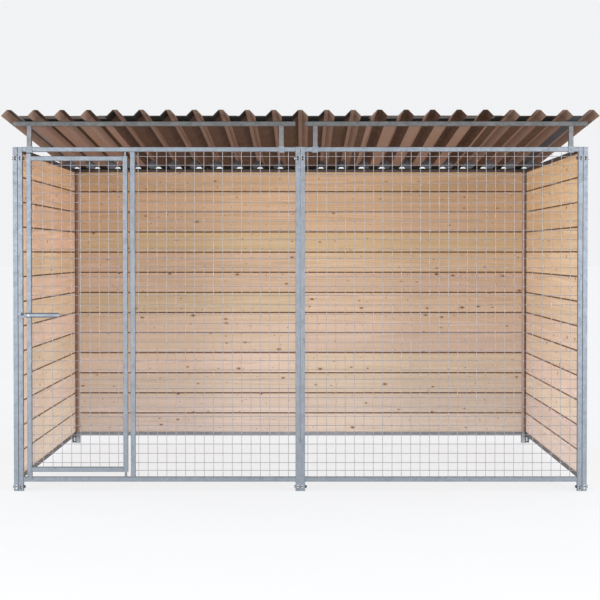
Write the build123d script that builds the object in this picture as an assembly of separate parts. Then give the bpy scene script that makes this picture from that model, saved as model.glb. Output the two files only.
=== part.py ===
from build123d import *
import os
import math

# Dog kennel, 3 m wide and 2 m deep: two mesh panels in front, one of them with a door,
# boarded panels at the sides and the rear, and a mono-pitch roof of trapezoid sheets.
# Millimetres. +Z up, the front faces -Y, +X is to the right seen from the front.
# Origin: on the ground, at the centre of the footprint.

# ---- driving dimensions -------------------------------------------------------------
TUBE = 25.0            # square section of every frame member
WALL = 2.0             # its wall
TUBE_R = 3.0           # its outer corner radius
H = 1830.0             # panel height, foot to top rail
FOOT = 50.0            # stile below the bottom rail
GAP = 1.0              # gap between neighbouring stiles
PITCH_X = 1500.0       # front and rear panels, stile to stile over the joint
DEPTH = 2000.0         # side panels
SLOT_L, SLOT_W = 23.0, 8.5   # bolt slots near the ends of the stiles
SLOT_TOP, SLOT_BOT = 1770.0, 22.0

# door, in the left half of the left front panel
POST_X = -890.5        # centre of the door post
HINGE_X = -930.0       # centre of the door's hinge stile, and the hinge axis
LATCH_X = -1441.5      # centre of the door's latch stile, and the lever's pivot
DOOR_Z0, DOOR_Z1 = 102.5, 1782.0
LATCH_STILE_Z0, LATCH_STILE_Z1 = 79.0, 1795.0

# mesh: welded wires, square cells
WIRE = 3.0
MESH_Z0, MESH_DZ, MESH_NZ = 150.2, 49.5, 33
MESH_LOW, MESH_HIGH = 108.7, 1780.5

# boards: tongue and groove, 13 in each panel
BOARD_T = 18.0
BOARD_COVER = 134.15
BOARD_N = 13
BOARD_Z0 = 66.95       # underside of the lowest board, inside the bottom channel
BOARD_IN = 7.0         # board end inside the channel stile
BOARD_V = 2.5          # bevel at each visible edge

# roof
ROOF_RAIL_Z0 = 1941.0
ROOF_OVERHANG = 158.0
RIB_PITCH, RIB_H, RIB_TOP, RIB_SIDE = 137.5, 31.0, 22.0, 30.0
RIBS = 23
SHEET_T = 1.2
SHEET_LAP = 15.0
RAIL_IN, RAIL_OUT = 26.0, 1524.0
UPRIGHT_X = (-1438.0, -100.0, 80.0, 1436.0)

# latch
PIVOT_Z = 937.5
PIVOT_R = 4.0

# ---- derived -------------------------------------------------------------------------
YF = -DEPTH / 2
YFC = YF + TUBE / 2            # centre plane of the front panels
YRC = DEPTH / 2 - TUBE / 2     # centre plane of the rear panels
XO = PITCH_X - GAP / 2         # outer edge of a front or rear panel
XI = GAP / 2                   # its inner edge
XS = PITCH_X + GAP / 2 + TUBE / 2   # centre plane of a side panel
RAIL_B = FOOT + TUBE / 2
RAIL_T = H - TUBE / 2
ZIN0, ZIN1 = FOOT + TUBE, H - TUBE

os.makedirs("parts", exist_ok=True)
made = {}


def keep(name, *solids):
    out = []
    for s in solids:
        if isinstance(s, (list, tuple)):
            for t in s:
                out += list(t.solids())
        else:
            out += list(s.solids())
    made[name] = out
    export_step(Compound(children=[Solid(s.wrapped) for s in out]) if len(out) > 1 else out[0],
                "parts/%s.step" % name)


# ---- sections ------------------------------------------------------------------------
tube_profile = RectangleRounded(TUBE, TUBE, TUBE_R) - RectangleRounded(TUBE - 2 * WALL, TUBE - 2 * WALL, TUBE_R - WALL)


def channel_section():
    outer = Rectangle(TUBE, TUBE)
    outer = fillet(outer.vertices().sort_by(Axis.X)[:2], 2.5)
    void = Pos(WALL / 2, 0) * Rectangle(TUBE - WALL, TUBE - 2 * WALL)
    return outer - void


channel_profile = channel_section()


def bar(profile, origin, along, length, x_dir):
    return extrude(Plane(origin=origin, x_dir=x_dir, z_dir=along) * profile, amount=length)


def tube_z(x, y, z0, z1):
    return bar(tube_profile, (x, y, z0), (0, 0, 1), z1 - z0, (1, 0, 0))


def tube_x(x0, x1, y, z):
    return bar(tube_profile, (x0, y, z), (1, 0, 0), x1 - x0, (0, 1, 0))


def slot_y(x, y, z, depth=TUBE + 4):
    s = Plane(origin=(x, y - depth / 2, z), x_dir=(0, 0, 1), z_dir=(0, 1, 0)) * SlotOverall(SLOT_L, SLOT_W)
    return extrude(s, amount=depth)


def slot_x(x, y, z, depth=TUBE + 4):
    s = Plane(origin=(x - depth / 2, y, z), x_dir=(0, 0, 1), z_dir=(1, 0, 0)) * SlotOverall(SLOT_L, SLOT_W)
    return extrude(s, amount=depth)


def rod(p, d, r, length):
    return extrude(Plane(origin=p, z_dir=d) * Circle(r), amount=length)


def hexagon(p, d, across, length):
    return extrude(Plane(origin=p, z_dir=d) * RegularPolygon(across / math.sqrt(3), 6), amount=length)


def ring(p, d, r_out, r_in, length):
    return extrude(Plane(origin=p, z_dir=d) * (Circle(r_out) - Circle(r_in)), amount=length)


# ---- front panels: tube frames --------------------------------------------------------
def mesh_stile(x):
    s = tube_z(x, YFC, 0, H)
    for z in (SLOT_TOP, SLOT_BOT):
        s = s - slot_y(x, YFC, z) - slot_x(x, YFC, z)
    return s


def hinge_hole(z):
    return Pos(HINGE_X, YFC, z) * Cylinder(5.08, 6)


fl_l, fl_r = -XO + TUBE / 2, -XI - TUBE / 2
fl_top = tube_x(fl_l + TUBE / 2, fl_r - TUBE / 2, YFC, RAIL_T) - hinge_hole(ZIN1 + 1)
fl_bot = tube_x(fl_l + TUBE / 2, fl_r - TUBE / 2, YFC, RAIL_B) - hinge_hole(ZIN0 - 1)
keep("front_left_frame", mesh_stile(fl_l), mesh_stile(fl_r), fl_top, fl_bot,
     tube_z(POST_X, YFC, ZIN0, ZIN1))
fr_l, fr_r = XI + TUBE / 2, XO - TUBE / 2
keep("front_right_frame", mesh_stile(fr_l), mesh_stile(fr_r),
     tube_x(fr_l + TUBE / 2, fr_r - TUBE / 2, YFC, RAIL_T),
     tube_x(fr_l + TUBE / 2, fr_r - TUBE / 2, YFC, RAIL_B))


# ---- mesh: round wires, the uprights in front and the cross wires behind them ------------------
def grid(xs, zs, x0, x1, z0, z1, y):
    d = WIRE / 2 + 0.01
    up = [rod((x, y - d, z0), (0, 0, 1), WIRE / 2, z1 - z0) for x in xs]
    across = [rod((x0, y + d, z), (1, 0, 0), WIRE / 2, x1 - x0) for z in zs]
    return up + across


zs_door = [MESH_Z0 + MESH_DZ * i for i in range(MESH_NZ)]
zs_panel = [MESH_LOW] + zs_door + [MESH_HIGH]
xs_left = [-861.1 + 49.9 * i for i in range(17)]
xs_right = [40.1 + 49.87 * i for i in range(29)]
xs_door = [-1418.7 + 50.0 * i for i in range(10)]
keep("front_left_mesh", grid(xs_left, zs_panel, POST_X + TUBE / 2, fl_r - TUBE / 2, ZIN0, ZIN1, YFC))
keep("front_right_mesh", grid(xs_right, zs_panel, fr_l + TUBE / 2, fr_r - TUBE / 2, ZIN0, ZIN1, YFC))
keep("door_mesh", grid(xs_door, zs_door, LATCH_X + TUBE / 2, HINGE_X - TUBE / 2,
                       DOOR_Z0 + TUBE, DOOR_Z1 - TUBE, YFC))

# ---- door ------------------------------------------------------------------------------------
latch_stile = tube_z(LATCH_X, YFC, LATCH_STILE_Z0, LATCH_STILE_Z1) - rod((LATCH_X, YF - 5, PIVOT_Z), (0, 1, 0), PIVOT_R + 0.1, 40)
hinge_stile = tube_z(HINGE_X, YFC, DOOR_Z0, DOOR_Z1)
dr0, dr1 = LATCH_X + TUBE / 2, HINGE_X - TUBE / 2
keep("door_frame", latch_stile, hinge_stile,
     tube_x(dr0, dr1, YFC, DOOR_Z1 - TUBE / 2), tube_x(dr0, dr1, YFC, DOOR_Z0 + TUBE / 2))


def hinge_pin(z_end, sign, shoulder):
    # square plug in the stile's end, a shoulder across the gap, and a spigot into the rail
    plug = Box(20.6, 20.6, 24)
    plug = fillet(plug.edges().filter_by(Axis.Z), 0.9)
    plug = Pos(HINGE_X, YFC, z_end - sign * 12) * plug
    sh = Pos(HINGE_X, YFC, z_end + sign * shoulder / 2) * Cylinder(6.5, shoulder)
    length = 17.0
    gap = abs((ZIN1 if sign > 0 else ZIN0) - z_end)
    sp = Pos(HINGE_X, YFC, z_end + sign * (gap + length) / 2) * Cylinder(5.0, gap + length)
    return plug + sh + sp


keep("upper_hinge_pin", hinge_pin(DOOR_Z1, 1, ZIN1 - DOOR_Z1 - 6.0))
keep("lower_hinge_pin", hinge_pin(DOOR_Z0, -1, DOOR_Z0 - ZIN0 - 0.2))

stop = Box(15, 3, 39)
stop = fillet(stop.edges().filter_by(Axis.Y), 3)
keep("door_stop", Pos(LATCH_X + TUBE / 2 - 7.5, YF - 1.5, 61 + 19.5) * stop)

# ---- latch -------------------------------------------------------------------------------------
back_plate = extrude(Plane(origin=(LATCH_X - 0.5, YF, 923.5), x_dir=(1, 0, 0), z_dir=(0, -1, 0))
                     * RectangleRounded(22, 49, 3), amount=3)
back_plate = back_plate - rod((LATCH_X, YF - 5, PIVOT_Z), (0, 1, 0), PIVOT_R + 0.1, 10)
keep("latch_back_plate", back_plate)

LY = YF - 4.8          # rear edges of the lever's flanges
outer = [(LY, 13.0), (LY - 3.4, 13.0), (LY - 9.2, 6.5), (LY - 9.2, -6.5), (LY - 3.4, -13.0), (LY, -13.0)]
inner = [(LY, 10.6), (LY - 2.35, 10.6), (LY - 6.8, 5.6), (LY - 6.8, -5.6), (LY - 2.35, -10.6), (LY, -10.6)]
lev_l, lev_r = -1467.0, -1277.5


def lever_poly(pts, r):
    # the section's outline with its four bends rounded, closed straight across the back
    line = FilletPolyline(*[(p[0], p[1]) for p in pts], radius=r)
    closing = Line((pts[-1][0], pts[-1][1]), (pts[0][0], pts[0][1]))
    return make_face([line, closing])


def yz(sketch, x0, x1):
    # sketch x is Y, sketch y is Z
    pl = Plane(origin=(x0, 0, PIVOT_Z), x_dir=(0, 1, 0), z_dir=(1, 0, 0))
    return extrude(pl * sketch, amount=x1 - x0)


body = yz(lever_poly(outer, 2.6) - lever_poly(inner, 0.9), lev_l, lev_r)
window = extrude(Plane(origin=((lev_l + lev_r) / 2, YF, PIVOT_Z), x_dir=(1, 0, 0), z_dir=(0, -1, 0))
                 * RectangleRounded(lev_r - lev_l, 26.2, 9), amount=30)
body = body & window
boss = rod((LATCH_X, LY + 0.15, PIVOT_Z), (0, -1, 0), 8.0, 7.5)
body = body + boss
tongue = Pos((-1490.0 - 1452.0) / 2, YF - 9.0, PIVOT_Z - 6.5) * Box(38.0, 4.0, 12.0)
tongue = fillet(tongue.edges().filter_by(Axis.Y).sort_by(Axis.X)[:2], 3.5)
body = body + tongue
body = body - rod((LATCH_X, YF + 10, PIVOT_Z), (0, -1, 0), PIVOT_R + 0.08, 40)
body = body - rod((-1296.0, YF + 10, PIVOT_Z - 1.0), (0, -1, 0), 4.0, 40)
keep("latch_lever", body)

bolt = rod((LATCH_X, YF - 14.1, PIVOT_Z), (0, 1, 0), PIVOT_R, 50.0)
head = rod((LATCH_X, YF - 14.1, PIVOT_Z), (0, -1, 0), 8.0, 4.5)
head = fillet(head.edges().filter_by(GeomType.CIRCLE).sort_by(Axis.Y)[:1], 3.2)
keep("latch_pivot_bolt", bolt + head)
keep("latch_pivot_washers",
     ring((LATCH_X, YF - 3.0, PIVOT_Z), (0, -1, 0), 9.0, PIVOT_R + 0.1, 1.5),
     ring((LATCH_X, YF + TUBE, PIVOT_Z), (0, 1, 0), 8.0, PIVOT_R + 0.1, 1.6))
keep("latch_pivot_nut",
     hexagon((LATCH_X, YF + TUBE + 1.6, PIVOT_Z), (0, 1, 0), 13.0, 6.5)
     - rod((LATCH_X, YF + TUBE, PIVOT_Z), (0, 1, 0), PIVOT_R + 0.05, 12))

# keeper: a bent strip welded to the corner stile; its lip hangs in front of the lever's tongue
kx0, kx1 = -1498.5, -1481.0
keeper_pts = [(YF, 922.0), (YF, 950.5), (YF - 16.0, 950.5), (YF - 16.0, 938.5), (YF - 13.4, 938.5),
              (YF - 13.4, 947.9), (YF - 2.6, 947.9), (YF - 2.6, 922.0)]
keeper = extrude(Plane(origin=(kx0, 0, 0), x_dir=(0, 1, 0), z_dir=(1, 0, 0)) * make_face(Polyline(*keeper_pts, close=True)),
                 amount=kx1 - kx0)
keep("latch_keeper", keeper)


# ---- boarded panels: channel frames ---------------------------------------------------------------
def channel(origin, along, length, opening):
    return bar(channel_profile, origin, along, length, opening)


def rear_panel(x0, x1):
    xa, xb = x0 + TUBE / 2, x1 - TUBE / 2
    left = channel((xa, YRC, 0), (0, 0, 1), H, (1, 0, 0))
    right = channel((xb, YRC, 0), (0, 0, 1), H, (-1, 0, 0))
    for z in (SLOT_TOP, SLOT_BOT):
        left = left - slot_x(x0, YRC, z, 12)
        right = right - slot_x(x1, YRC, z, 12)
    bottom = channel((x0 + TUBE, YRC, RAIL_B), (1, 0, 0), x1 - x0 - 2 * TUBE, (0, 0, 1))
    top = channel((x0 + TUBE, YRC, RAIL_T), (1, 0, 0), x1 - x0 - 2 * TUBE, (0, 0, -1))
    return [left, right, bottom, top]


def side_panel(x):
    ya, yb = YF + TUBE / 2, DEPTH / 2 - TUBE / 2
    front = channel((x, ya, 0), (0, 0, 1), H, (0, 1, 0))
    rear = channel((x, yb, 0), (0, 0, 1), H, (0, -1, 0))
    for z in (SLOT_TOP, SLOT_BOT):
        front = front - slot_x(x, ya, z) - slot_y(x, YF, z, 12)
        rear = rear - slot_x(x, yb, z) - slot_y(x, DEPTH / 2, z, 12)
    ln = DEPTH - 2 * TUBE
    bottom = channel((x, YF + TUBE, RAIL_B), (0, 1, 0), ln, (0, 0, 1))
    top = channel((x, YF + TUBE, RAIL_T), (0, 1, 0), ln, (0, 0, -1))
    out = 1 if x > 0 else -1
    holes = [rod((x + out * 20, y, 1750.0), (-out, 0, 0), 2.6, 12) for y in (ya + 5, yb - 5)]
    front = front - holes[0]
    rear = rear - holes[1]
    return [front, rear, bottom, top]


# ---- roof geometry needed by the rear top rails ----------------------------------------------------
RAIL_TOP = ROOF_RAIL_Z0 + TUBE
ANG = math.atan2(RAIL_TOP - H, DEPTH / 2 - (YF + TUBE))
CA, SA = math.cos(ANG), math.sin(ANG)
TAN = math.tan(ANG)
LIFT = 0.15            # the sheets just clear the rails


def under_z(y):
    # underside of the valleys at y
    return RAIL_TOP + LIFT - (y - (YF + TUBE)) * TAN


NORMAL = (0, SA, CA)
SCREW_X = [s * v for v in (68.75, 343.75, 618.75, 1031.25, 1306.25) for s in (-1, 1)]


def screw_holes(y, r=2.85):
    return [rod((x, y - SA * 20, under_z(y) - CA * 20), NORMAL, r, 40) for x in SCREW_X]


rear_holes = screw_holes(YRC)
front_holes = screw_holes(YFC)

for name, a, b in (("rear_left_frame", -XO, -XI), ("rear_right_frame", XI, XO)):
    parts_ = rear_panel(a, b)
    top = parts_[3]
    for i, x in enumerate(SCREW_X):
        if a < x < b:
            top = top - rear_holes[i]
    keep(name, parts_[0], parts_[1], parts_[2], top)
keep("left_side_frame", *side_panel(-XS))
keep("right_side_frame", *side_panel(XS))


# ---- boards ------------------------------------------------------------------------------------------
def board_section(first, last):
    # x is the thickness, y the height from the board's lower shoulder
    t, h, v = BOARD_T / 2, BOARD_COVER - 0.2, BOARD_V
    pts = [(-t, v), (-t + v, 0)]
    if not first:
        pts += [(-3.1, 0), (-3.1, 6.6), (3.1, 6.6), (3.1, 0)]          # groove
    pts += [(t - v, 0), (t, v), (t, h - v), (t - v, h)]
    if not last:
        pts += [(2.8, h), (2.8, h + 6.0), (-2.8, h + 6.0), (-2.8, h)]  # tongue
    pts += [(-t + v, h), (-t, h - v)]
    return make_face(Polyline(*pts, close=True))


def boards(along, start, length, across):
    out = []
    for i in range(BOARD_N):
        z = BOARD_Z0 + BOARD_COVER * i + 0.1
        pl = Plane(origin=(start[0], start[1], z), x_dir=across, z_dir=along)
        out.append(extrude(pl * board_section(i == 0, i == BOARD_N - 1), amount=length))
    return out


# planes are chosen so that the section's second axis points up
bl = (XO - TUBE) - (XI + TUBE) + 2 * BOARD_IN
keep("rear_left_boards", boards((1, 0, 0), (-XO + TUBE - BOARD_IN, YRC), bl, (0, 1, 0)))
keep("rear_right_boards", boards((1, 0, 0), (XI + TUBE - BOARD_IN, YRC), bl, (0, 1, 0)))
sl = DEPTH - 2 * TUBE + 2 * BOARD_IN


def side_boards(x):
    bs = boards((0, 1, 0), (x, YF + TUBE - BOARD_IN), sl, (-1, 0, 0))
    out = 1 if x > 0 else -1
    k = int((1750.0 - BOARD_Z0) // BOARD_COVER)
    for y in (YF + TUBE / 2 + 5, DEPTH / 2 - TUBE / 2 - 5):
        bs[k] = bs[k] - rod((x + out * 20, y, 1750.0), (-out, 0, 0), 2.1, 30)
    return bs


keep("left_side_boards", side_boards(-XS))
keep("right_side_boards", side_boards(XS))

# small screws that hold the top board in the side panels' channels
bs = []
for x in (-XS, XS):
    o = 1 if x > 0 else -1
    face = x + o * TUBE / 2
    for y in (YF + TUBE / 2 + 5, DEPTH / 2 - TUBE / 2 - 5):
        shank = rod((face, y, 1750.0), (-o, 0, 0), 2.0, 16.0)
        hd = rod((face, y, 1750.0), (o, 0, 0), 5.0, 3.2)
        hd = fillet(hd.edges().filter_by(GeomType.CIRCLE).sort_by(Axis.X)[(-1 if o > 0 else 0)], 2.0)
        bs.append(shank + hd)
keep("board_screws", bs)

# ---- roof rails, uprights and saddles -----------------------------------------------------------------
rl = tube_x(-RAIL_OUT, -RAIL_IN, YFC, ROOF_RAIL_Z0 + TUBE / 2)
rr = tube_x(RAIL_IN, RAIL_OUT, YFC, ROOF_RAIL_Z0 + TUBE / 2)
for i, x in enumerate(SCREW_X):
    if x < 0:
        rl = rl - front_holes[i]
    else:
        rr = rr - front_holes[i]
keep("roof_rail_left", rl)
keep("roof_rail_right", rr)
SADDLE_T = 3.0
keep("roof_uprights", [tube_z(x, YFC, H + SADDLE_T, ROOF_RAIL_Z0) for x in UPRIGHT_X])


def saddle(x):
    y0, y1 = YF, YF + TUBE
    pts = [(y0, H - 29), (y0, H), (y1, H), (y1, H - 29), (y1 + SADDLE_T, H - 29), (y1 + SADDLE_T, H + SADDLE_T),
           (y0 - SADDLE_T, H + SADDLE_T), (y0 - SADDLE_T, H - 29)]
    s = extrude(Plane(origin=(x - 15, 0, 0), x_dir=(0, 1, 0), z_dir=(1, 0, 0)) * make_face(Polyline(*pts, close=True)),
                amount=30)
    return s - rod((x, YF + TUBE - 1, H - 14), (0, 1, 0), 2.6, 10)


keep("roof_saddles", [saddle(x) for x in UPRIGHT_X])
ss = []
for x in UPRIGHT_X:
    p = (x, YF + TUBE + SADDLE_T, H - 14)
    ss.append(hexagon(p, (0, 1, 0), 8.0, 4.0) + rod((p[0], p[1], p[2]), (0, -1, 0), 2.5, SADDLE_T))
keep("saddle_screws", ss)


# ---- roof sheets ------------------------------------------------------------------------------------------
def offset_up(pts, t):
    # the same path, moved by t along its upper normal, corners mitred
    out = []
    n = len(pts)
    for i in range(n):
        dirs = []
        if i > 0:
            dx, dy = pts[i][0] - pts[i - 1][0], pts[i][1] - pts[i - 1][1]
            ln = math.hypot(dx, dy)
            dirs.append((-dy / ln, dx / ln))
        if i < n - 1:
            dx, dy = pts[i + 1][0] - pts[i][0], pts[i + 1][1] - pts[i][1]
            ln = math.hypot(dx, dy)
            dirs.append((-dy / ln, dx / ln))
        if len(dirs) == 1:
            nx, ny = dirs[0]
            out.append((pts[i][0] + nx * t, pts[i][1] + ny * t))
        else:
            mx, my = dirs[0][0] + dirs[1][0], dirs[0][1] + dirs[1][1]
            ml = math.hypot(mx, my)
            mx, my = mx / ml, my / ml
            c = mx * dirs[0][0] + my * dirs[0][1]
            out.append((pts[i][0] + mx * t / c, pts[i][1] + my * t / c))
    return out


BEND = 3.0
Y0S = -(DEPTH / 2 + ROOF_OVERHANG)
SHEET_LEN = (2 * (DEPTH / 2 + ROOF_OVERHANG) - (RIB_H + SHEET_T) * SA) / CA
half = RIB_TOP / 2 + RIB_SIDE


def sheet(first, last, x_start, x_end, up):
    pts = []
    if x_start is not None:
        pts.append((x_start, 0.0))
    for k in range(first, last + 1):
        xc = k * RIB_PITCH
        pts += [(xc - half, 0.0), (xc - RIB_TOP / 2, RIB_H), (xc + RIB_TOP / 2, RIB_H), (xc + half, 0.0)]
    if x_end is not None:
        pts.append((x_end, 0.0))
    top = offset_up(pts, SHEET_T)

    def radii(path, upper):
        out = []
        for i in range(1, len(path) - 1):
            low = abs(pts[i][1]) < 1e-6
            out.append(BEND + (SHEET_T if low != upper else 0.0))
        return out
    a = FilletPolyline(*pts, radius=radii(pts, False))
    b = FilletPolyline(*top, radius=radii(top, True))
    face = make_face([a, Line(pts[-1], top[-1]), b, Line(top[0], pts[0])])
    # the plane's first axis is +X and its second the sheet's upper normal; its own normal points forward
    oy = Y0S + SHEET_LEN * CA + up * SA
    oz = under_z(Y0S) - SHEET_LEN * SA + up * CA
    s = extrude(Plane(origin=(0, oy, oz), x_dir=(1, 0, 0), z_dir=(0, -CA, SA)) * face, amount=SHEET_LEN)
    xa = x_start if x_start is not None else -1e9
    xb = x_end if x_end is not None else 1e9
    for i, x in enumerate(SCREW_X):
        if xa < x < xb:
            s = s - front_holes[i] - rear_holes[i]
    return s


LAPS = [-1031.25, -343.75, 343.75, 1031.25]
keep("roof_sheet_1", sheet(-11, -8, None, LAPS[0] + SHEET_LAP, 0.0))
keep("roof_sheet_2", sheet(-7, -3, LAPS[0] - SHEET_LAP, LAPS[1] + SHEET_LAP, SHEET_T + 0.1))
keep("roof_sheet_3", sheet(-2, 2, LAPS[1] - SHEET_LAP, LAPS[2] + SHEET_LAP, 0.0))
keep("roof_sheet_4", sheet(3, 7, LAPS[2] - SHEET_LAP, LAPS[3] + SHEET_LAP, SHEET_T + 0.1))
keep("roof_sheet_5", sheet(8, 11, LAPS[3] - SHEET_LAP, None, 0.0))

# roof screws in the valleys, with sealing washers on top of the sheet
rs, rw = [], []
for y in (YFC, YRC):
    for x in SCREW_X:
        high = (LAPS[0] - SHEET_LAP) < x < (LAPS[1] + SHEET_LAP) or (LAPS[2] - SHEET_LAP) < x < (LAPS[3] + SHEET_LAP)
        lift = SHEET_T + (SHEET_T + 0.1 if high else 0.0) + 0.05
        base = (x, y + SA * lift, under_z(y) + CA * lift)
        rw.append(ring(base, NORMAL, 8.0, 2.85, 2.5))
        p = (x, base[1] + SA * 2.5, base[2] + CA * 2.5)
        rs.append(hexagon((p[0], p[1] + SA * 1.2, p[2] + CA * 1.2), NORMAL, 8.0, 4.3) + rod(p, NORMAL, 6.0, 1.2)
                  + rod(p, (0, -SA, -CA), 2.75, 22.0))
keep("roof_screws", rs)
keep("roof_screw_washers", rw)

# ---- bolts between neighbouring stiles, along X --------------------------------------------------------------
bolts, nuts, washers = [], [], []


def clamp(x_head, x_nut, y, z, washer_in=True):
    d = 1 if x_nut > x_head else -1
    w = 1.6
    washers.append(ring((x_head, y, z), (-d, 0, 0), 8.0, 4.1, w))
    washers.append(ring((x_nut, y, z), (d, 0, 0), 8.0, 4.1, w))
    hx = x_head - d * w
    shank_end = x_nut + d * (w + 6.5 + 2.5)
    bolts.append(hexagon((hx, y, z), (-d, 0, 0), 13.0, 5.3) + rod((hx, y, z), (d, 0, 0), 4.0, abs(shank_end - hx)))
    nuts.append(hexagon((x_nut + d * w, y, z), (d, 0, 0), 13.0, 6.5) - rod((x_nut - d * 5, y, z), (d, 0, 0), 4.05, 30))


for z in (SLOT_TOP, SLOT_BOT):
    clamp(-(XS + TUBE / 2), -XO + TUBE, YFC, z)          # front left corner
    clamp(XS + TUBE / 2, XO - TUBE, YFC, z)              # front right corner
    clamp(-XI - TUBE, XI + TUBE, YFC, z)                 # front centre
    clamp(-(XS + TUBE / 2), -XO + WALL, YRC, z)          # rear left corner
    clamp(XS + TUBE / 2, XO - WALL, YRC, z)              # rear right corner
    clamp(-XI - WALL, XI + WALL, YRC, z)                 # rear centre
keep("panel_bolts", bolts)
keep("panel_nuts", nuts)
keep("panel_washers", washers)

# ---- overall size -----------------------------------------------------------------------------------------------
lo = [1e9] * 3
hi = [-1e9] * 3
for n, ss_ in made.items():
    for s in ss_:
        bb = s.bounding_box()
        for i, (a, b) in enumerate(((bb.min.X, bb.max.X), (bb.min.Y, bb.max.Y), (bb.min.Z, bb.max.Z))):
            lo[i] = min(lo[i], a)
            hi[i] = max(hi[i], b)
print("nodes", len(made), "solids", sum(len(v) for v in made.values()))
print("box", [round(v, 2) for v in lo], [round(v, 2) for v in hi])
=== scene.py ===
import bpy
import math
from mathutils import Matrix, Vector


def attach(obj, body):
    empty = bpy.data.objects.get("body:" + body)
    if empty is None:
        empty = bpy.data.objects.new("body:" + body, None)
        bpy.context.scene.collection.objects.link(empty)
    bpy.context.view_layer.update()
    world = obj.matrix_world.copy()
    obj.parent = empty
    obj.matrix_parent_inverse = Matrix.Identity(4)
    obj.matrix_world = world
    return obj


# Dog kennel: galvanised steel frames and mesh, boarded walls, coated trapezoid roof sheets.
# Metres. +Z up, the front faces -Y, +X is to the right seen from the front.

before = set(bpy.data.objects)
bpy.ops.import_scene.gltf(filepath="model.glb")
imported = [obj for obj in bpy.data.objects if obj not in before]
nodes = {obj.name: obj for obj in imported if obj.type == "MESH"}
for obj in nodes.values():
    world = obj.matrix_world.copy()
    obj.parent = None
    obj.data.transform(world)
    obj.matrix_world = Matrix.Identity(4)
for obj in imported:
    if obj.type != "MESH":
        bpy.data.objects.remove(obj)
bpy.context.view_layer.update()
scene = bpy.context.scene

# ---- camera -----------------------------------------------------------------------------------
cam_data = bpy.data.cameras.new("camera")
cam = bpy.data.objects.new("camera", cam_data)
scene.collection.objects.link(cam)
cam_data.sensor_fit = "HORIZONTAL"
cam_data.sensor_width = 36.0
cam_data.lens = 87.578
cam_data.shift_x = 0.0004
cam_data.shift_y = -0.02788
cam_data.clip_start, cam_data.clip_end = 0.1, 300.0
cam.location = (0.0088, -8.7503, 1.2655)
cam.rotation_euler = (math.radians(90.0 - 1.171), math.radians(0.011), math.radians(0.084))
scene.camera = cam

# ---- light --------------------------------------------------------------------------------------
scene.view_settings.view_transform = "Standard"
scene.view_settings.look = "None"
world = bpy.data.worlds.new("studio")
scene.world = world
world.use_nodes = True
bg = world.node_tree.nodes["Background"]
bg.inputs["Color"].default_value = (0.885, 0.892, 0.905, 1.0)
bg.inputs["Strength"].default_value = 1.0


def area(name, loc, target, size_x, size_y, power, colour=(1, 1, 1)):
    d = bpy.data.lights.new(name, "AREA")
    d.shape = "RECTANGLE"
    d.size, d.size_y = size_x, size_y
    d.energy = power
    d.color = colour
    o = bpy.data.objects.new(name, d)
    scene.collection.objects.link(o)
    o.location = loc
    o.rotation_euler = (Vector(target) - Vector(loc)).to_track_quat("-Z", "Y").to_euler()
    return o


area("left", (-5.2, -7.2, 1.5), (1.4, 0.2, 1.0), 3.0, 2.2, 480)
area("right", (5.2, -7.2, 1.5), (-1.4, 0.2, 1.0), 3.0, 2.2, 480)
area("centre", (0.0, -9.6, 1.3), (0.0, 1.0, 1.2), 4.0, 2.0, 130)


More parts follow.
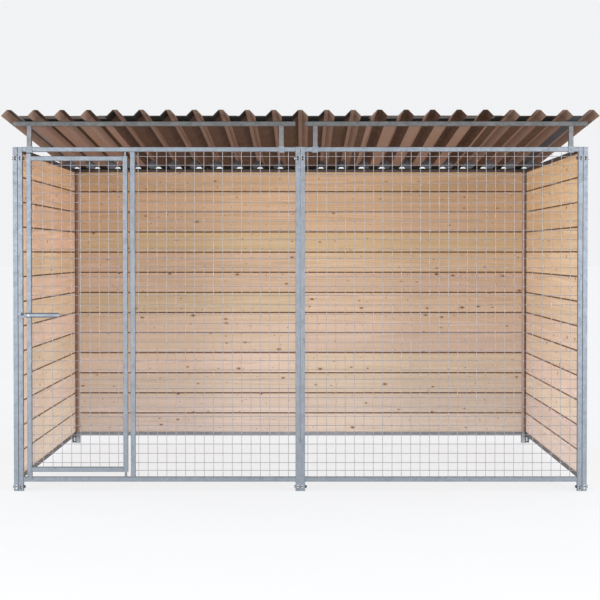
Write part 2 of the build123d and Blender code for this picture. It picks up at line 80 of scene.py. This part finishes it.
# ---- node helpers ---------------------------------------------------------------------------------
class Mat:
    def __init__(self, name):
        self.m = bpy.data.materials.new(name)
        self.m.use_nodes = True
        self.t = self.m.node_tree
        self.t.nodes.clear()
        self.out = self.n("ShaderNodeOutputMaterial")
        self.b = self.n("ShaderNodeBsdfPrincipled")
        self.t.links.new(self.b.outputs["BSDF"], self.out.inputs["Surface"])
        self.co = self.n("ShaderNodeTexCoord")

    def n(self, kind):
        return self.t.nodes.new(kind)

    def set(self, sock, v):
        if isinstance(v, bpy.types.NodeSocket):
            self.t.links.new(v, sock)
        else:
            sock.default_value = v

    def math(self, op, a, b=None, c=None, clamp=False):
        n = self.n("ShaderNodeMath")
        n.operation = op
        n.use_clamp = clamp
        for s, v in zip(n.inputs, (a, b, c)):
            if v is not None:
                self.set(s, v)
        return n.outputs[0]

    def add(self, a, b):
        return self.math("ADD", a, b)

    def sub(self, a, b):
        return self.math("SUBTRACT", a, b)

    def mul(self, a, b):
        return self.math("MULTIPLY", a, b)

    def xyz(self, v):
        n = self.n("ShaderNodeSeparateXYZ")
        self.set(n.inputs[0], v)
        return n.outputs

    def vec(self, x, y, z):
        n = self.n("ShaderNodeCombineXYZ")
        for s, v in zip(n.inputs, (x, y, z)):
            self.set(s, v)
        return n.outputs[0]

    def scale(self, v, k):
        n = self.n("ShaderNodeVectorMath")
        n.operation = "MULTIPLY"
        self.set(n.inputs[0], v)
        n.inputs[1].default_value = k if hasattr(k, "__len__") else (k, k, k)
        return n.outputs[0]

    def vadd(self, a, b):
        n = self.n("ShaderNodeVectorMath")
        n.operation = "ADD"
        self.set(n.inputs[0], a)
        self.set(n.inputs[1], b)
        return n.outputs[0]

    def noise(self, v, scale, detail=3.0, rough=0.5, distort=0.0):
        n = self.n("ShaderNodeTexNoise")
        n.inputs["Scale"].default_value = scale
        n.inputs["Detail"].default_value = detail
        n.inputs["Roughness"].default_value = rough
        n.inputs["Distortion"].default_value = distort
        self.set(n.inputs["Vector"], v)
        return n.outputs["Fac"]

    def voronoi(self, v, scale, feature="F1", dims="3D", randomness=1.0):
        n = self.n("ShaderNodeTexVoronoi")
        n.voronoi_dimensions = dims
        n.feature = feature
        n.inputs["Scale"].default_value = scale
        n.inputs["Randomness"].default_value = randomness
        self.set(n.inputs["Vector"], v)
        return n

    def step(self, v, lo, hi, a=0.0, b=1.0, smooth=True):
        n = self.n("ShaderNodeMapRange")
        n.interpolation_type = "SMOOTHSTEP" if smooth else "LINEAR"
        self.set(n.inputs["Value"], v)
        self.set(n.inputs["From Min"], lo)
        self.set(n.inputs["From Max"], hi)
        self.set(n.inputs["To Min"], a)
        self.set(n.inputs["To Max"], b)
        return n.outputs["Result"]

    def mix(self, f, a, b, blend="MIX"):
        n = self.n("ShaderNodeMix")
        n.data_type = "RGBA"
        n.blend_type = blend
        self.set(n.inputs[0], f)
        for s, v in ((n.inputs[6], a), (n.inputs[7], b)):
            if isinstance(v, bpy.types.NodeSocket):
                self.t.links.new(v, s)
            else:
                s.default_value = (*v, 1.0) if len(v) == 3 else v
        return n.outputs[2]

    def grey(self, v):
        n = self.n("ShaderNodeCombineColor")
        for s in n.inputs[:3]:
            self.set(s, v)
        return n.outputs[0]

    def bump(self, h, strength, distance, normal=None):
        n = self.n("ShaderNodeBump")
        n.inputs["Strength"].default_value = strength
        n.inputs["Distance"].default_value = distance
        self.set(n.inputs["Height"], h)
        if normal is not None:
            self.set(n.inputs["Normal"], normal)
        return n.outputs[0]


# ---- galvanised steel ---------------------------------------------------------------------------
def galvanised(name, dark, light, cell=62.0, metal=0.72, rough=(0.40, 0.60), where=None):
    m = Mat(name)
    p = m.co.outputs["Object"]
    warp = m.vadd(p, m.scale(m.vec(m.noise(p, 40.0, 2), m.noise(m.vadd(p, (3, 1, 2)), 40.0, 2), 0.5), 0.012))
    cells = m.voronoi(warp, cell)
    tone = m.xyz(cells.outputs["Color"])[0]
    edge = m.voronoi(warp, cell, "DISTANCE_TO_EDGE").outputs["Distance"]
    cloud = m.noise(p, 14.0, 4, 0.6)
    blot = m.step(m.noise(m.vadd(p, (7, 2, 5)), 34.0, 3, 0.6), 0.52, 0.70)
    fleck = m.step(m.noise(m.vadd(p, (1, 9, 4)), 190.0, 2, 0.6), 0.60, 0.74)
    f = m.add(m.mul(tone, 0.34), m.mul(cloud, 0.9))
    f = m.sub(f, m.mul(blot, 0.26))
    f = m.sub(f, m.mul(fleck, 0.16))
    f = m.math("ADD", f, -0.05, clamp=True)
    col = m.mix(f, dark, light)
    bloom = m.step(m.noise(m.vadd(p, (4, 4, 1)), 22.0, 4, 0.65), 0.60, 0.78)
    col = m.mix(m.mul(bloom, 0.30), col, tuple(min(1.0, 1.12 * c + 0.02) for c in light))
    if where:
        col = where(m, col, *m.xyz(p))
    m.set(m.b.inputs["Base Color"], col)
    m.b.inputs["Metallic"].default_value = metal
    r = m.step(f, 0.1, 0.9, rough[1], rough[0], smooth=False)
    m.set(m.b.inputs["Roughness"], m.math("ADD", r, m.mul(bloom, 0.12), clamp=True))
    h = m.add(m.mul(m.step(edge, 0.0, 0.10), 0.35), m.mul(m.noise(p, 260.0, 3), 0.5))
    h = m.sub(h, m.mul(fleck, 0.5))
    m.set(m.b.inputs["Normal"], m.bump(h, 0.35, 0.0004))
    return m.m


def rear_painted_shade_and_reflection(m, col, x, y, z):
    # inside the kennel the rear frames carry a painted warm reflection of the boards and painted shade; the top rail
    # under the sheets is painted darkest, near black at its top, and the bottom rail stays grey
    mid = m.mul(m.step(z, 0.074, 0.080), m.step(z, 1.806, 1.800))
    out = m.mix(m.mul(mid, 0.85), col, (0.450, 0.325, 0.280))
    ax = m.math("ABSOLUTE", x)
    brown = m.mul(mid, m.step(ax, 1.481, 1.484))
    out = m.mix(m.mul(brown, 0.85), out, (0.190, 0.118, 0.088))
    out = m.mix(m.mul(m.step(z, 1.800, 1.806), 0.92), out, (0.060, 0.038, 0.028))
    out = m.mix(m.mul(m.step(z, 1.818, 1.826), 0.95), out, (0.006, 0.005, 0.005))
    return m.mix(m.step(y, 0.994, 0.989), col, out)


def side_painted_shade_and_reflection(m, col, x, y, z):
    # inside, behind the front, the side frames are painted darker and warmer as painted shade and painted reflection of
    # the boards, darkest low down
    deep = m.step(y, -0.965, -0.93)
    out = m.mix(m.mul(deep, 0.60), col, (0.130, 0.092, 0.075))
    low = m.mul(m.step(z, 0.085, 0.060), deep)
    out = m.mix(m.mul(low, 0.55), out, (0.060, 0.050, 0.046))
    return m.mix(m.step(m.math("ABSOLUTE", x), 1.5195, 1.5145), col, out)


def inner_washer(m, col, x, y, z):
    # washers under the nuts, inside the kennel, are blackened like the nuts
    ax = m.math("ABSOLUTE", x)
    inner = m.mul(m.step(ax, 1.502, 1.498), m.step(x, -0.002, 0.002))
    inner = m.math("MAXIMUM", inner, m.mul(m.step(ax, 1.502, 1.498), m.step(ax, 0.9, 1.0)))
    return m.mix(m.mul(inner, 0.92), col, (0.030, 0.032, 0.036))


STEEL = galvanised("galvanised_steel", (0.122, 0.140, 0.164), (0.180, 0.203, 0.232))
REAR_STEEL = galvanised("galvanised_rear_frame", (0.160, 0.168, 0.180), (0.240, 0.248, 0.262), where=rear_painted_shade_and_reflection)
SIDE_STEEL = galvanised("galvanised_side_frame", (0.122, 0.140, 0.164), (0.180, 0.203, 0.232), where=side_painted_shade_and_reflection)
# the roof uprights and the roof rail are darker copies of the galvanised steel: painted shade under the roof overhang
UPRIGHT = galvanised("galvanised_upright", (0.094, 0.097, 0.104), (0.140, 0.143, 0.152), metal=0.60, rough=(0.46, 0.62))
RAIL_PAINTED_SHADE = galvanised("galvanised_rail_painted_shade", (0.062, 0.064, 0.066), (0.108, 0.109, 0.111), metal=0.55, rough=(0.50, 0.66))
WIRE = galvanised("galvanised_wire", (0.184, 0.180, 0.196), (0.272, 0.266, 0.284), cell=140.0, metal=0.6, rough=(0.42, 0.58))
ZINC = galvanised("zinc_plated", (0.20, 0.22, 0.25), (0.40, 0.42, 0.45), cell=420.0, metal=0.9, rough=(0.24, 0.42))
WASHER = galvanised("zinc_washer", (0.20, 0.22, 0.25), (0.40, 0.42, 0.45), cell=420.0, metal=0.9, rough=(0.24, 0.42), where=inner_washer)


# ---- boards: softwood with rings, knots, and painted shade with grime in the joints -----------------
Z0, COVER = 0.06695, 0.13415


def wood(name, along, seed, painted_light_gain):
    m = Mat(name)
    x, y, z = m.xyz(m.co.outputs["Object"])
    length = x if along == "x" else y
    thick = y if along == "x" else x
    hr = m.math("DIVIDE", m.sub(z, Z0), COVER)
    idx = m.math("FLOOR", hr)
    h = m.mul(m.sub(hr, idx), COVER)
    wn = m.n("ShaderNodeTexWhiteNoise")
    wn.noise_dimensions = "2D"
    m.set(wn.inputs["Vector"], m.vec(m.add(idx, 0.5), seed, 0.0))
    r1, r2, r3 = m.xyz(wn.outputs["Color"])
    r4 = wn.outputs["Value"]
    shift = m.add(m.mul(r1, 37.0), seed * 11.3)

    # knots
    kv = m.vec(m.add(m.mul(length, 9.0), shift), m.add(m.mul(h, 18.0), m.mul(idx, 5.37)), 0.0)
    kn = m.voronoi(kv, 1.0, dims="2D")
    kd = kn.outputs["Distance"]
    k1, k2, k3 = m.xyz(kn.outputs["Color"])
    kr = m.add(0.030, m.mul(m.math("POWER", k1, 6.0), 0.085))
    there = m.step(k2, 0.45, 0.47)
    knot = m.mul(m.step(m.math("DIVIDE", kd, kr), 1.15, 0.75), there)
    halo = m.mul(m.step(m.math("DIVIDE", kd, kr), 2.6, 1.0), there)
    flow = m.mul(m.step(m.math("DIVIDE", kd, kr), 4.5, 0.0), there)

    # growth rings of a flat-sawn board
    wob = m.mul(m.sub(m.noise(m.vec(m.mul(length, 1.6), m.mul(h, 7.0), shift), 1.0, 3, 0.5), 0.5), 0.030)
    hc = m.add(COVER / 2, m.mul(m.sub(r2, 0.5), 0.11))
    a = m.mul(m.sub(r1, 0.5), 0.030)
    hh = m.add(m.add(m.sub(h, hc), m.mul(a, length)), wob)
    dd = m.add(m.add(0.012, m.mul(r3, 0.05)), m.mul(m.sub(r4, 0.5), m.mul(length, 0.03)))
    rad = m.math("SQRT", m.add(m.mul(hh, hh), m.mul(dd, dd)))
    rad = m.add(rad, m.mul(flow, 0.006))
    ring = m.math("FRACT", m.math("DIVIDE", rad, m.add(0.0042, m.mul(r2, 0.0030))))
    late = m.mul(m.step(ring, 0.35, 0.86), m.step(ring, 1.0, 0.93))

    bands = m.noise(m.vec(m.mul(length, 0.9), m.mul(h, 44.0), shift), 1.0, 3, 0.60)
    streak = m.noise(m.vec(m.mul(length, 1.4), m.mul(h, 120.0), m.add(shift, 9.0)), 1.0, 3, 0.65)
    fibre = m.noise(m.vec(m.mul(length, 14.0), m.mul(z, 900.0), m.mul(thick, 900.0)), 1.0, 3, 0.6)
    fleck = m.noise(m.vec(m.mul(length, 60.0), m.mul(z, 260.0), shift), 1.0, 2, 0.5)

    # height sets the colours, paler and bluer low down and deeper orange and darker high up: painted shade and roof
    # bounce under the roof, painted floor light near the ground
    up = m.step(z, 0.05, 1.75, 0.0, 1.0, smooth=False)
    pale = m.mix(up, (0.66, 0.500, 0.370), (0.72, 0.440, 0.235))
    yellow = m.mix(up, (0.66, 0.500, 0.330), (0.70, 0.445, 0.205))
    pink = m.mix(up, (0.68, 0.475, 0.365), (0.73, 0.415, 0.240))
    tint = m.mix(m.step(r3, 0.25, 0.75), yellow, pink)
    col = m.mix(0.75, pale, tint)
    col = m.mix(m.step(bands, 0.36, 0.66, 0.0, 0.60), col, m.mix(up, (0.60, 0.430, 0.270), (0.58, 0.335, 0.135)))
    col = m.mix(m.step(streak, 0.50, 0.78, 0.0, 0.50), col, m.mix(up, (0.50, 0.340, 0.225), (0.47, 0.245, 0.095)))
    latec = m.mix(up, (0.45, 0.300, 0.195), (0.43, 0.215, 0.090))
    col = m.mix(m.mul(late, 0.34), col, latec)
    col = m.mix(m.step(fibre, 0.45, 0.85, 0.0, 0.22), col, latec)
    col = m.mix(m.step(fleck, 0.60, 0.80, 0.0, 0.15), col, latec)
    col = m.mix(1.0, col, m.grey(m.add(0.93, m.mul(r4, 0.12))), "MULTIPLY")
    # the outer faces have seen more sun and rain than the inner ones; the inner faces take the painted light gain
    inner = m.step(m.math("ABSOLUTE", thick), *((0.990, 0.986) if along == "x" else (1.5155, 1.5115)))
    col = m.mix(1.0, col, m.mix(inner, (0.86, 0.88, 0.92), m.mix(up, *painted_light_gain)), "MULTIPLY")
    col = m.mix(m.mul(halo, 0.45), col, (0.36, 0.185, 0.080))
    col = m.mix(m.mul(knot, 0.85), col, (0.085, 0.040, 0.020))
    # the V-grooves between boards are darkened: painted shade with some grime
    edge = m.math("MINIMUM", h, m.sub(COVER, h))
    groove_shade = m.step(edge, 0.0052, 0.0034)
    col = m.mix(m.mul(groove_shade, 0.92), col, (0.105, 0.046, 0.020))
    m.set(m.b.inputs["Base Color"], col)
    m.set(m.b.inputs["Roughness"], m.step(m.add(late, m.mul(fibre, 0.6)), 0.0, 1.4, 0.74, 0.56))
    m.b.inputs["Specular IOR Level"].default_value = 0.35
    hgt = m.add(m.mul(late, 0.5), m.mul(fibre, 0.6))
    hgt = m.sub(hgt, m.mul(knot, 0.6))
    m.set(m.b.inputs["Normal"], m.bump(hgt, 0.45, 0.0005))
    return m.m


# painted light gains for the inner faces, bottom then top: the side walls are painted much paler than the rear wall,
# and both change with height
REAR_PAINTED_LIGHT_GAIN = ((0.89, 1.015, 1.22), (0.85, 0.967, 1.11))
SIDE_PAINTED_LIGHT_GAIN = ((1.20, 1.36, 1.68), (1.37, 1.56, 1.94))
WOOD = {
    "rear_left_boards": wood("boards_rear_left", "x", 1.5, REAR_PAINTED_LIGHT_GAIN),
    "rear_right_boards": wood("boards_rear_right", "x", 4.5, REAR_PAINTED_LIGHT_GAIN),
    "left_side_boards": wood("boards_left", "y", 7.5, SIDE_PAINTED_LIGHT_GAIN),
    "right_side_boards": wood("boards_right", "y", 12.5, SIDE_PAINTED_LIGHT_GAIN),
}


# ---- roof sheets: dark coat on top, brown coat below ---------------------------------------------------
def roof(name, painted_lit_valleys):
    # each rib is 82 mm wide at its foot and 22 mm at its crest; the underside tones are painted light and shade: a
    # valley with the slope after it is painted lit in some sheets and shaded in the others, and the fold lines of the
    # shaded sheets are painted darker
    m = Mat(name)
    p = m.co.outputs["Object"]
    x, y, z = m.xyz(p)
    nz = m.xyz(m.co.outputs["Normal"])[2]
    top = m.step(nz, -0.02, 0.02)
    u = m.sub(m.math("FRACT", m.add(m.math("DIVIDE", x, 0.1375), 0.5)), 0.5)
    s = m.mul(u, 0.1375)
    after = m.mul(m.step(s, -0.0118, -0.0104), m.step(s, 0.0425, 0.0405))
    crest = m.mul(after, m.step(s, 0.0118, 0.0104))
    left = m.mul(m.step(s, -0.0425, -0.0405), m.step(s, -0.0104, -0.0118))
    fold = m.step(m.math("ABSOLUTE", m.sub(m.math("ABSOLUTE", s), 0.011)), 0.0026, 0.0010)
    cloud = m.noise(p, 6.0, 4, 0.6)
    grain = m.noise(p, 900.0, 2, 0.6)
    mottle = m.noise(m.vec(m.mul(x, 60.0), m.mul(y, 22.0), z), 1.0, 3, 0.6)
    dust = m.step(m.noise(m.vec(m.mul(x, 3.0), m.mul(y, 0.8), z), 4.0, 4, 0.6), 0.42, 0.75)
    pale, pale2, deep, deep2 = (0.285, 0.180, 0.136), (0.215, 0.132, 0.096), (0.078, 0.040, 0.026), (0.064, 0.034, 0.023)
    if painted_lit_valleys:
        under = m.mix(left, pale, (0.305, 0.195, 0.150))
        under = m.mix(after, under, (0.062, 0.030, 0.018))
    else:
        under = m.mix(left, deep, deep2)
        under = m.mix(after, under, pale2)
        under = m.mix(crest, under, pale)
        under = m.mix(m.mul(fold, m.mul(after, 0.4)), under, deep)
    under = m.mix(m.step(mottle, 0.35, 0.75, 0.0, 0.10), under, (0.30, 0.21, 0.165))
    # the overhang in front of the rail: the valleys are painted a reflected grey in the lit sheets and painted
    # shade-dark in the others, with a painted black contact shadow where they meet the rail
    front = m.step(y, -0.985, -1.000)
    valley = m.step(m.math("ABSOLUTE", s), 0.0400, 0.0425)
    if painted_lit_valleys:
        under = m.mix(m.mul(front, valley), under, (0.125, 0.108, 0.098))
        under = m.mix(m.mul(front, m.mul(valley, m.step(y, -1.085, -1.055))), under, (0.001, 0.001, 0.001))
    else:
        dark_foot = m.math("MAXIMUM", valley, m.mul(left, 0.85))
        under = m.mix(m.mul(front, dark_foot), under, (0.034, 0.028, 0.025))
        under = m.mix(m.mul(front, m.mul(dark_foot, m.step(y, -1.140, -1.105))), under, (0.001, 0.001, 0.001))
    # near the rear the valleys are painted black as shade, and the slopes that face the middle carry a painted bluish
    # reflection
    rear = m.step(y, 0.74, 0.92)
    under = m.mix(m.mul(rear, 0.94), under, (0.006, 0.005, 0.005))
    right = m.mul(m.step(s, 0.0104, 0.0118), m.step(s, 0.0425, 0.0405))
    painted_reflection = m.mix(m.step(x, -0.01, 0.01), m.grey(left), m.grey(right))
    painted_reflection = m.math("MAXIMUM", m.xyz(painted_reflection)[0], m.mul(crest, 0.55))
    painted_reflection = m.mul(m.mul(painted_reflection, rear), m.step(m.math("ABSOLUTE", x), 0.0, 1.3, 0.30, 1.0, smooth=False))
    under = m.mix(m.mul(painted_reflection, 0.9), under, (0.200, 0.225, 0.270))
    # the last valleys on the right, short of the rear, are tinted a dark bluish grey, and a pale grey stripe runs along
    # the valleys at |x| = 1.4635 on both sides
    slate = m.mul(m.mul(m.step(x, 1.412, 1.418), valley), m.sub(1.0, rear))
    under = m.mix(m.mul(slate, 0.9), under, (0.052, 0.055, 0.064))
    pale_stripe = m.mul(m.step(m.math("ABSOLUTE", m.sub(m.math("ABSOLUTE", x), 1.4635)), 0.0085, 0.0065), m.step(s, 0.0405, 0.0425))
    under = m.mix(m.mul(pale_stripe, 0.7), under, (0.175, 0.165, 0.165))
    upper = m.mix(m.mul(cloud, 0.35), (0.040, 0.044, 0.050), (0.075, 0.080, 0.086))
    upper = m.mix(m.mul(dust, 0.35), upper, (0.16, 0.15, 0.135))
    col = m.mix(top, under, upper)
    m.set(m.b.inputs["Base Color"], col)
    m.set(m.b.inputs["Roughness"], m.add(m.step(m.math("SUBTRACT", cloud, m.mul(top, 0.35)), -0.05, 0.7, 0.50, 0.82), m.mul(dust, 0.10)))
    m.b.inputs["Specular IOR Level"].default_value = 0.10
    m.set(m.b.inputs["Normal"], m.bump(m.add(grain, m.mul(cloud, 2.0)), 0.12, 0.0003))
    return m.m


ROOF_A = roof("roof_sheet_painted_lit_valleys", True)
ROOF_B = roof("roof_sheet_painted_shaded_valleys", False)


def rubber():
    m = Mat("sealing_rubber")
    p = m.co.outputs["Object"]
    g = m.noise(p, 700.0, 3, 0.6)
    m.set(m.b.inputs["Base Color"], m.mix(g, (0.012, 0.012, 0.013), (0.035, 0.035, 0.036)))
    m.set(m.b.inputs["Roughness"], m.step(g, 0.3, 0.7, 0.62, 0.80))
    m.set(m.b.inputs["Normal"], m.bump(g, 0.3, 0.0002))
    return m.m


def black_zinc():
    m = Mat("black_nut")
    p = m.co.outputs["Object"]
    g = m.noise(p, 420.0, 3, 0.6)
    m.set(m.b.inputs["Base Color"], m.mix(g, (0.020, 0.022, 0.026), (0.060, 0.064, 0.070)))
    m.b.inputs["Metallic"].default_value = 0.6
    m.set(m.b.inputs["Roughness"], m.step(g, 0.3, 0.7, 0.36, 0.52))
    m.set(m.b.inputs["Normal"], m.bump(g, 0.25, 0.0002))
    return m.m


RUBBER, BLACK = rubber(), black_zinc()

# ---- which node gets which finish ---------------------------------------------------------------------
finish = {}
for n in nodes:
    if n.endswith("_boards"):
        finish[n] = WOOD[n]
    elif n.endswith("_mesh"):
        finish[n] = WIRE
    elif n.startswith("roof_sheet"):
        finish[n] = ROOF_A if n[-1] in "14" else ROOF_B
    elif n.startswith("roof_rail"):
        finish[n] = RAIL_PAINTED_SHADE
    elif n.startswith("roof_upright"):
        finish[n] = UPRIGHT
    elif n.startswith("rear_"):
        finish[n] = REAR_STEEL
    elif n.startswith(("left_side", "right_side")):
        finish[n] = SIDE_STEEL
    elif n == "panel_washers":
        finish[n] = WASHER
    elif n in ("panel_nuts",):
        finish[n] = BLACK
    elif n == "roof_screw_washers":
        finish[n] = RUBBER
    elif n in ("panel_bolts", "board_screws", "saddle_screws", "roof_screws", "latch_pivot_bolt",
               "latch_pivot_washers", "latch_pivot_nut"):
        finish[n] = ZINC
    else:
        finish[n] = STEEL
for n, o in nodes.items():
    if not o.material_slots:
        o.data.materials.append(None)
    for s in o.material_slots:
        s.material = finish[n]

# ---- welds ------------------------------------------------------------------------------------------------
WELD = galvanised("galvanised_weld", (0.088, 0.100, 0.118), (0.150, 0.168, 0.192), cell=150.0, metal=0.70, rough=(0.44, 0.60))


def piece(name, verts, faces, body, material):
    me = bpy.data.meshes.new(name)
    me.from_pydata(verts, [], faces)
    me.validate()
    me.update()
    for poly in me.polygons:
        poly.use_smooth = True
    me.materials.append(material)
    o = bpy.data.objects.new(name, me)
    scene.collection.objects.link(o)
    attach(o, body)
    return o


def bead(verts, faces, p0, p1, r=0.0017):
    # a run of overlapping puddles: a closed, rippled body that tapers at both ends
    p0, p1 = Vector(p0), Vector(p1)
    d = p1 - p0
    n = max(10, int(d.length / 0.0009))
    t = d.normalized()
    a = Vector((0, 0, 1)) if abs(t.z) < 0.9 else Vector((1, 0, 0))
    u = t.cross(a).normalized()
    w = t.cross(u)
    k, base = 10, len(verts)
    key = p0.x * 31.7 + p0.y * 17.3 + p0.z * 11.9
    for i in range(n + 1):
        f = i / n
        s = f * d.length
        puddle = 0.86 + 0.16 * abs(math.sin(math.pi * s / 0.0026 + key)) + 0.05 * math.sin(s * 700.0 + 3.0 * key)
        taper = min(1.0, 0.30 + 0.70 * math.sqrt(min(f, 1 - f) * n / 3.0)) if min(f, 1 - f) * n < 3.0 else 1.0
        rr = r * puddle * taper
        c = p0 + d * f + u * (0.00012 * math.sin(s * 900.0 + key)) + w * (0.00012 * math.cos(s * 760.0 + 2 * key))
        for j in range(k):
            q = 2 * math.pi * j / k
            verts.append(tuple(c + (u * math.cos(q) + w * math.sin(q)) * rr))
    for i in range(n):
        for j in range(k):
            j2 = (j + 1) % k
            faces.append((base + i * k + j, base + i * k + j2, base + (i + 1) * k + j2, base + (i + 1) * k + j))
    for end, ring in ((p0, 0), (p1, n)):
        verts.append(tuple(end))
        tip = len(verts) - 1
        for j in range(k):
            j2 = (j + 1) % k
            f3 = (tip, base + ring * k + j2, base + ring * k + j)
            faces.append(f3 if ring == 0 else f3[::-1])


def blob(verts, faces, c, rx, ry, rz):
    # a small closed nugget
    base, k, rows = len(verts), 8, 4
    verts.append((c[0], c[1] - ry, c[2]))
    for i in range(1, rows):
        a = math.pi * i / rows
        for j in range(k):
            q = 2 * math.pi * j / k
            verts.append((c[0] + rx * math.sin(a) * math.cos(q), c[1] - ry * math.cos(a), c[2] + rz * math.sin(a) * math.sin(q)))
    verts.append((c[0], c[1] + ry, c[2]))
    last = len(verts) - 1
    for j in range(k):
        j2 = (j + 1) % k
        faces.append((base, base + 1 + j, base + 1 + j2))
        for i in range(rows - 2):
            b0, b1 = base + 1 + i * k, base + 1 + (i + 1) * k
            faces.append((b0 + j, b1 + j, b1 + j2, b0 + j2))
        b = base + 1 + (rows - 2) * k
        faces.append((b + j, last, b + j2))


HALF, IN = 0.0125, 0.0006


def frame_joint(v, f, xs, side, zc, inner, yc=-0.9875):
    # rail against stile: seams on the front, on the back, and across the inside corner
    for sign in (-1, 1):
        y = yc + sign * (HALF - IN)
        bead(v, f, (xs, y, zc - 0.0100), (xs, y, zc + 0.0100))
    z = zc + inner * HALF
    bead(v, f, (xs + side * IN * 0.5, yc - 0.0098, z), (xs + side * IN * 0.5, yc + 0.0098, z))


def post_joint(v, f, xc, z, yc=-0.9875):
    for sign in (-1, 1):
        y = yc + sign * (HALF - IN)
        bead(v, f, (xc - 0.0100, y, z), (xc + 0.0100, y, z))
    for sign in (-1, 1):
        bead(v, f, (xc + sign * HALF, yc - 0.0098, z), (xc + sign * HALF, yc + 0.0098, z))


for name, xs_pair, posts in (("left", (-1.4745, -0.0255), (-0.8905,)), ("right", (0.0255, 1.4745), ())):
    v, f = [], []
    for xs, side in zip(xs_pair, (1, -1)):
        frame_joint(v, f, xs, side, 0.0625, 1)
        frame_joint(v, f, xs, side, 1.8175, -1)
    for xc in posts:
        post_joint(v, f, xc, 0.075)
        post_joint(v, f, xc, 1.805)
    piece("welds_front_" + name, v, f, "kennel", WELD)

v, f = [], []
for xs, side in ((-1.429, 1), (-0.9425, -1)):
    frame_joint(v, f, xs, side, 0.115, 1)
    frame_joint(v, f, xs, side, 1.7695, -1)
piece("welds_door", v, f, "door", WELD)

v, f = [], []
for xc in (-1.438, -0.100, 0.080, 1.436):
    post_joint(v, f, xc, 1.941)
piece("welds_roof_uprights", v, f, "kennel", WELD)

for name, xs_pair in (("left", (-1.4745, -0.0255)), ("right", (0.0255, 1.4745))):
    v, f = [], []
    for xs in xs_pair:
        for zc in (0.0625, 1.8175):
            for sign in (-1, 1):
                y = 0.9875 + sign * (HALF - IN)
                bead(v, f, (xs, y, zc - 0.0100), (xs, y, zc + 0.0100))
    piece("welds_rear_" + name, v, f, "kennel", WELD)
for name, xc in (("left", -1.513), ("right", 1.513)):
    v, f = [], []
    for yy in (-0.975, 0.975):
        for zc in (0.0625, 1.8175):
            for sign in (-1, 1):
                x = xc + sign * (HALF - IN)
                bead(v, f, (x, yy, zc - 0.0100), (x, yy, zc + 0.0100))
    piece("welds_side_" + name, v, f, "kennel", WELD)

# resistance welds of the mesh: a nugget where two wires cross, a collar where a wire meets the frame
z_door = [0.1502 + 0.0495 * i for i in range(33)]
z_panel = [0.1087] + z_door + [1.7805]
for name, body, xs, zs, x0, x1, z0, z1 in (
        ("front_left", "kennel", [-0.8611 + 0.0499 * i for i in range(17)], z_panel, -0.878, -0.0255, 0.075, 1.805),
        ("front_right", "kennel", [0.0401 + 0.04987 * i for i in range(29)], z_panel, 0.0255, 1.4745, 0.075, 1.805),
        ("door", "door", [-1.4187 + 0.0500 * i for i in range(10)], z_door, -1.429, -0.9425, 0.1275, 1.757)):
    v, f = [], []
    for i, x in enumerate(xs):
        for j, z in enumerate(zs):
            g = 0.5 + 0.5 * math.sin(12.9898 * i + 78.233 * j)
            blob(v, f, (x, -0.9875, z), 0.00165 + 0.0003 * g, 0.0013, 0.0019 - 0.0003 * g)
    for x in xs:
        for z, sign in ((z0, 1), (z1, -1)):
            blob(v, f, (x, -0.98901, z), 0.0024, 0.0023, 0.0012)
    for z in zs:
        for x, sign in ((x0, 1), (x1, -1)):
            blob(v, f, (x, -0.98599, z), 0.0012, 0.0023, 0.0024)
    piece("mesh_welds_" + name, v, f, body, WIRE)

# ---- floor -----------------------------------------------------------------------------------------------
fm = Mat("floor")
fp = fm.co.outputs["Object"]
tone = fm.noise(fp, 1.5, 4, 0.6)
fm.set(fm.b.inputs["Base Color"], fm.mix(tone, (0.155, 0.156, 0.158), (0.175, 0.176, 0.178)))
fm.b.inputs["Roughness"].default_value = 0.9
fm.b.inputs["Specular IOR Level"].default_value = 0.0
fm.b.inputs["Emission Color"].default_value = (0.885, 0.892, 0.905, 1.0)
fm.b.inputs["Emission Strength"].default_value = 0.86
me = bpy.data.meshes.new("floor")
ring_n, rad_n = 96, [0.0, 3.0, 8.0, 20.0, 60.0, 140.0]
verts, faces = [(0.0, 0.0, -0.0005)], []
for r in rad_n[1:]:
    for i in range(ring_n):
        t = 2 * math.pi * i / ring_n
        verts.append((r * math.cos(t), r * math.sin(t), -0.0005))
for i in range(ring_n):
    faces.append((0, 1 + i, 1 + (i + 1) % ring_n))
for k in range(len(rad_n) - 2):
    b0, b1 = 1 + k * ring_n, 1 + (k + 1) * ring_n
    for i in range(ring_n):
        j = (i + 1) % ring_n
        faces.append((b0 + i, b1 + i, b1 + j, b0 + j))
me.from_pydata(verts, [], faces)
me.materials.append(fm.m)
floor = bpy.data.objects.new("floor", me)
scene.collection.objects.link(floor)
